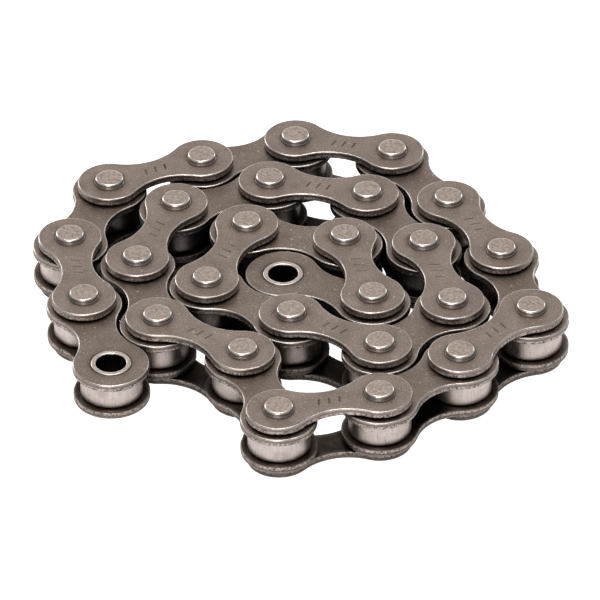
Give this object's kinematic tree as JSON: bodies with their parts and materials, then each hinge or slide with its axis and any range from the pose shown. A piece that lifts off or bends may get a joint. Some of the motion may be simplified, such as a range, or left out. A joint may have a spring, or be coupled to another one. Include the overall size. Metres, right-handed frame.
{
  "type": "roller drive chain",
  "caption": "Open length of roller drive chain lying in a loose coil: waisted link plates, riveted pins, bushings and free-turning rollers.",
  "frame": {"origin": "centre of the coil's bounding box, on the ground plane that the pin ends stand on", "axes": "+Z along the pins, upwards; X and Y lie in the plane of the coil, +Y away from the viewer"},
  "size_m": [0.0668, 0.0663, 0.0089],
  "materials": {
    "outer_link_steel": "satin browned steel plates, brighter peened pin heads",
    "inner_link_steel": "satin browned steel plates, bright bushing rims",
    "roller_steel": "polished grey-beige steel, fine scuffs"
  },
  "bodies": {
    "inner_link_01": {"inner_link_01": "inner_link_steel"},
    "outer_link_01": {"outer_link_01": "outer_link_steel"},
    "inner_link_02": {"inner_link_02": "inner_link_steel"},
    "outer_link_02": {"outer_link_02": "outer_link_steel"},
    "inner_link_03": {"inner_link_03": "inner_link_steel"},
    "outer_link_03": {"outer_link_03": "outer_link_steel"},
    "inner_link_04": {"inner_link_04": "inner_link_steel"},
    "outer_link_04": {"outer_link_04": "outer_link_steel"},
    "inner_link_05": {"inner_link_05": "inner_link_steel"},
    "outer_link_05": {"outer_link_05": "outer_link_steel"},
    "inner_link_06": {"inner_link_06": "inner_link_steel"},
    "outer_link_06": {"outer_link_06": "outer_link_steel"},
    "inner_link_07": {"inner_link_07": "inner_link_steel"},
    "outer_link_07": {"outer_link_07": "outer_link_steel"},
    "inner_link_08": {"inner_link_08": "inner_link_steel"},
    "outer_link_08": {"outer_link_08": "outer_link_steel"},
    "inner_link_09": {"inner_link_09": "inner_link_steel"},
    "outer_link_09": {"outer_link_09": "outer_link_steel"},
    "inner_link_10": {"inner_link_10": "inner_link_steel"},
    "outer_link_10": {"outer_link_10": "outer_link_steel"},
    "inner_link_11": {"inner_link_11": "inner_link_steel"},
    "outer_link_11": {"outer_link_11": "outer_link_steel"},
    "inner_link_12": {"inner_link_12": "inner_link_steel"},
    "outer_link_12": {"outer_link_12": "outer_link_steel"},
    "inner_link_13": {"inner_link_13": "inner_link_steel"},
    "outer_link_13": {"outer_link_13": "outer_link_steel"},
    "inner_link_14": {"inner_link_14": "inner_link_steel"},
    "roller_01": {"roller_01": "roller_steel"},
    "roller_02": {"roller_02": "roller_steel"},
    "roller_03": {"roller_03": "roller_steel"},
    "roller_04": {"roller_04": "roller_steel"},
    "roller_05": {"roller_05": "roller_steel"},
    "roller_06": {"roller_06": "roller_steel"},
    "roller_07": {"roller_07": "roller_steel"},
    "roller_08": {"roller_08": "roller_steel"},
    "roller_09": {"roller_09": "roller_steel"},
    "roller_10": {"roller_10": "roller_steel"},
    "roller_11": {"roller_11": "roller_steel"},
    "roller_12": {"roller_12": "roller_steel"},
    "roller_13": {"roller_13": "roller_steel"},
    "roller_14": {"roller_14": "roller_steel"},
    "roller_15": {"roller_15": "roller_steel"},
    "roller_16": {"roller_16": "roller_steel"},
    "roller_17": {"roller_17": "roller_steel"},
    "roller_18": {"roller_18": "roller_steel"},
    "roller_19": {"roller_19": "roller_steel"},
    "roller_20": {"roller_20": "roller_steel"},
    "roller_21": {"roller_21": "roller_steel"},
    "roller_22": {"roller_22": "roller_steel"},
    "roller_23": {"roller_23": "roller_steel"},
    "roller_24": {"roller_24": "roller_steel"},
    "roller_25": {"roller_25": "roller_steel"},
    "roller_26": {"roller_26": "roller_steel"},
    "roller_27": {"roller_27": "roller_steel"},
    "roller_28": {"roller_28": "roller_steel"}
  },
  "joints": [
    {"name": "pin_01_hinge", "type": "hinge", "parent": "outer_link_01", "child": "inner_link_01", "pos_m": [-0.02668, -0.00498, 0.00443], "axis": [0, 0, -1], "range_deg": [0, 140]},
    {"name": "pin_02_hinge", "type": "hinge", "parent": "inner_link_02", "child": "outer_link_01", "pos_m": [-0.02867, 0.00756, 0.00443], "axis": [0, 0, -1], "range_deg": [0, 60]},
    {"name": "pin_03_hinge", "type": "hinge", "parent": "outer_link_02", "child": "inner_link_02", "pos_m": [-0.02391, 0.01934, 0.00443], "axis": [0, 0, -1], "range_deg": [0, 60]},
    {"name": "pin_04_hinge", "type": "hinge", "parent": "inner_link_03", "child": "outer_link_02", "pos_m": [-0.01222, 0.0243, 0.00443], "axis": [0, 0, -1], "range_deg": [0, 60]},
    {"name": "pin_05_hinge", "type": "hinge", "parent": "outer_link_03", "child": "inner_link_03", "pos_m": [-0.00021, 0.02843, 0.00443], "axis": [0, 0, -1], "range_deg": [0, 60]},
    {"name": "pin_06_hinge", "type": "hinge", "parent": "inner_link_04", "child": "outer_link_03", "pos_m": [0.01211, 0.02536, 0.00443], "axis": [0, 0, -1], "range_deg": [0, 60]},
    {"name": "pin_07_hinge", "type": "hinge", "parent": "outer_link_04", "child": "inner_link_04", "pos_m": [0.01903, 0.01471, 0.00443], "axis": [0, 0, -1], "range_deg": [0, 0.1]},
    {"name": "pin_08_hinge", "type": "hinge", "parent": "inner_link_05", "child": "outer_link_04", "pos_m": [0.02538, 0.00371, 0.00443], "axis": [0, 0, -1], "range_deg": [0, 0.1]},
    {"name": "pin_09_hinge", "type": "hinge", "parent": "outer_link_05", "child": "inner_link_05", "pos_m": [0.02866, -0.00856, 0.00443], "axis": [0, 0, -1], "range_deg": [0, 0.1]},
    {"name": "pin_10_hinge", "type": "hinge", "parent": "inner_link_06", "child": "outer_link_05", "pos_m": [0.01969, -0.01754, 0.00443], "axis": [0, 0, -1], "range_deg": [0, 0.1]},
    {"name": "pin_11_hinge", "type": "hinge", "parent": "outer_link_06", "child": "inner_link_06", "pos_m": [0.00968, -0.02535, 0.00443], "axis": [0, 0, -1], "range_deg": [0, 0.1]},
    {"name": "pin_12_hinge", "type": "hinge", "parent": "inner_link_07", "child": "outer_link_06", "pos_m": [-0.00265, -0.02843, 0.00443], "axis": [0, 0, -1], "range_deg": [0, 0.1]},
    {"name": "pin_13_hinge", "type": "hinge", "parent": "outer_link_07", "child": "inner_link_07", "pos_m": [-0.00699, -0.01649, 0.00443], "axis": [0, 0, -1], "range_deg": [0, 0.1]},
    {"name": "pin_14_hinge", "type": "hinge", "parent": "outer_link_07", "child": "inner_link_08", "pos_m": [-0.01752, -0.00939, 0.00443], "axis": [0, 0, 1], "range_deg": [0, 0.1]},
    {"name": "pin_15_hinge", "type": "hinge", "parent": "inner_link_08", "child": "outer_link_08", "pos_m": [-0.02016, 0.00303, 0.00443], "axis": [0, 0, 1], "range_deg": [0, 0.1]},
    {"name": "pin_16_hinge", "type": "hinge", "parent": "outer_link_08", "child": "inner_link_09", "pos_m": [-0.0154, 0.01481, 0.00443], "axis": [0, 0, 1], "range_deg": [0, 0.1]},
    {"name": "pin_17_hinge", "type": "hinge", "parent": "inner_link_09", "child": "outer_link_09", "pos_m": [-0.00354, 0.01936, 0.00443], "axis": [0, 0, 1], "range_deg": [0, 0.1]},
    {"name": "pin_18_hinge", "type": "hinge", "parent": "outer_link_09", "child": "inner_link_10", "pos_m": [0.00878, 0.01629, 0.00443], "axis": [0, 0, 1], "range_deg": [0, 0.1]},
    {"name": "pin_19_hinge", "type": "hinge", "parent": "inner_link_10", "child": "outer_link_10", "pos_m": [0.0157, 0.00563, 0.00443], "axis": [0, 0, 1], "range_deg": [0, 0.1]},
    {"name": "pin_20_hinge", "type": "hinge", "parent": "outer_link_10", "child": "inner_link_11", "pos_m": [0.01898, -0.00663, 0.00443], "axis": [0, 0, 1], "range_deg": [0, 0.1]},
    {"name": "pin_21_hinge", "type": "hinge", "parent": "inner_link_11", "child": "outer_link_11", "pos_m": [0.00985, -0.01545, 0.00443], "axis": [0, 0, 1], "range_deg": [0, 0.1]},
    {"name": "pin_22_hinge", "type": "hinge", "parent": "outer_link_11", "child": "inner_link_12", "pos_m": [-0.00104, -0.00891, 0.00443], "axis": [0, 0, 1], "range_deg": [0, 0.1]},
    {"name": "pin_23_hinge", "type": "hinge", "parent": "inner_link_12", "child": "outer_link_12", "pos_m": [-0.01144, -0.00163, 0.00443], "axis": [0, 0, 1], "range_deg": [0, 0.1]},
    {"name": "pin_24_hinge", "type": "hinge", "parent": "outer_link_12", "child": "inner_link_13", "pos_m": [-0.00648, 0.01006, 0.00443], "axis": [0, 0, 1], "range_deg": [0, 0.1]},
    {"name": "pin_25_hinge", "type": "hinge", "parent": "inner_link_13", "child": "outer_link_13", "pos_m": [0.00584, 0.00699, 0.00443], "axis": [0, 0, 1], "range_deg": [0, 0.1]},
    {"name": "pin_26_hinge", "type": "hinge", "parent": "outer_link_13", "child": "inner_link_14", "pos_m": [0.00913, -0.00528, 0.00443], "axis": [0, 0, 1], "range_deg": [0, 0.1]},
    {"name": "roller_01_spin", "type": "hinge", "parent": "inner_link_01", "child": "roller_01", "pos_m": [-0.02318, -0.01719, 0.00443], "axis": [0, 0, 1], "continuous": true},
    {"name": "roller_02_spin", "type": "hinge", "parent": "inner_link_01", "child": "roller_02", "pos_m": [-0.02668, -0.00498, 0.00443], "axis": [0, 0, 1], "continuous": true},
    {"name": "roller_03_spin", "type": "hinge", "parent": "inner_link_02", "child": "roller_03", "pos_m": [-0.02867, 0.00756, 0.00443], "axis": [0, 0, 1], "continuous": true},
    {"name": "roller_04_spin", "type": "hinge", "parent": "inner_link_02", "child": "roller_04", "pos_m": [-0.02391, 0.01934, 0.00443], "axis": [0, 0, 1], "continuous": true},
    {"name": "roller_05_spin", "type": "hinge", "parent": "inner_link_03", "child": "roller_05", "pos_m": [-0.01222, 0.0243, 0.00443], "axis": [0, 0, 1], "continuous": true},
    {"name": "roller_06_spin", "type": "hinge", "parent": "inner_link_03", "child": "roller_06", "pos_m": [-0.00021, 0.02843, 0.00443], "axis": [0, 0, 1], "continuous": true},
    {"name": "roller_07_spin", "type": "hinge", "parent": "inner_link_04", "child": "roller_07", "pos_m": [0.01211, 0.02536, 0.00443], "axis": [0, 0, 1], "continuous": true},
    {"name": "roller_08_spin", "type": "hinge", "parent": "inner_link_04", "child": "roller_08", "pos_m": [0.01903, 0.01471, 0.00443], "axis": [0, 0, 1], "continuous": true},
    {"name": "roller_09_spin", "type": "hinge", "parent": "inner_link_05", "child": "roller_09", "pos_m": [0.02538, 0.00371, 0.00443], "axis": [0, 0, 1], "continuous": true},
    {"name": "roller_10_spin", "type": "hinge", "parent": "inner_link_05", "child": "roller_10", "pos_m": [0.02866, -0.00856, 0.00443], "axis": [0, 0, 1], "continuous": true},
    {"name": "roller_11_spin", "type": "hinge", "parent": "inner_link_06", "child": "roller_11", "pos_m": [0.01969, -0.01754, 0.00443], "axis": [0, 0, 1], "continuous": true},
    {"name": "roller_12_spin", "type": "hinge", "parent": "inner_link_06", "child": "roller_12", "pos_m": [0.00968, -0.02535, 0.00443], "axis": [0, 0, 1], "continuous": true},
    {"name": "roller_13_spin", "type": "hinge", "parent": "inner_link_07", "child": "roller_13", "pos_m": [-0.00265, -0.02843, 0.00443], "axis": [0, 0, 1], "continuous": true},
    {"name": "roller_14_spin", "type": "hinge", "parent": "inner_link_07", "child": "roller_14", "pos_m": [-0.00699, -0.01649, 0.00443], "axis": [0, 0, 1], "continuous": true},
    {"name": "roller_15_spin", "type": "hinge", "parent": "inner_link_08", "child": "roller_15", "pos_m": [-0.01752, -0.00939, 0.00443], "axis": [0, 0, 1], "continuous": true},
    {"name": "roller_16_spin", "type": "hinge", "parent": "inner_link_08", "child": "roller_16", "pos_m": [-0.02016, 0.00303, 0.00443], "axis": [0, 0, 1], "continuous": true},
    {"name": "roller_17_spin", "type": "hinge", "parent": "inner_link_09", "child": "roller_17", "pos_m": [-0.0154, 0.01481, 0.00443], "axis": [0, 0, 1], "continuous": true},
    {"name": "roller_18_spin", "type": "hinge", "parent": "inner_link_09", "child": "roller_18", "pos_m": [-0.00354, 0.01936, 0.00443], "axis": [0, 0, 1], "continuous": true},
    {"name": "roller_19_spin", "type": "hinge", "parent": "inner_link_10", "child": "roller_19", "pos_m": [0.00878, 0.01629, 0.00443], "axis": [0, 0, 1], "continuous": true},
    {"name": "roller_20_spin", "type": "hinge", "parent": "inner_link_10", "child": "roller_20", "pos_m": [0.0157, 0.00563, 0.00443], "axis": [0, 0, 1], "continuous": true},
    {"name": "roller_21_spin", "type": "hinge", "parent": "inner_link_11", "child": "roller_21", "pos_m": [0.01898, -0.00663, 0.00443], "axis": [0, 0, 1], "continuous": true},
    {"name": "roller_22_spin", "type": "hinge", "parent": "inner_link_11", "child": "roller_22", "pos_m": [0.00985, -0.01545, 0.00443], "axis": [0, 0, 1], "continuous": true},
    {"name": "roller_23_spin", "type": "hinge", "parent": "inner_link_12", "child": "roller_23", "pos_m": [-0.00104, -0.00891, 0.00443], "axis": [0, 0, 1], "continuous": true},
    {"name": "roller_24_spin", "type": "hinge", "parent": "inner_link_12", "child": "roller_24", "pos_m": [-0.01144, -0.00163, 0.00443], "axis": [0, 0, 1], "continuous": true},
    {"name": "roller_25_spin", "type": "hinge", "parent": "inner_link_13", "child": "roller_25", "pos_m": [-0.00648, 0.01006, 0.00443], "axis": [0, 0, 1], "continuous": true},
    {"name": "roller_26_spin", "type": "hinge", "parent": "inner_link_13", "child": "roller_26", "pos_m": [0.00584, 0.00699, 0.00443], "axis": [0, 0, 1], "continuous": true},
    {"name": "roller_27_spin", "type": "hinge", "parent": "inner_link_14", "child": "roller_27", "pos_m": [0.00913, -0.00528, 0.00443], "axis": [0, 0, 1], "continuous": true},
    {"name": "roller_28_spin", "type": "hinge", "parent": "inner_link_14", "child": "roller_28", "pos_m": [-0.00198, 0.00088, 0.00443], "axis": [0, 0, 1], "continuous": true}
  ]
}
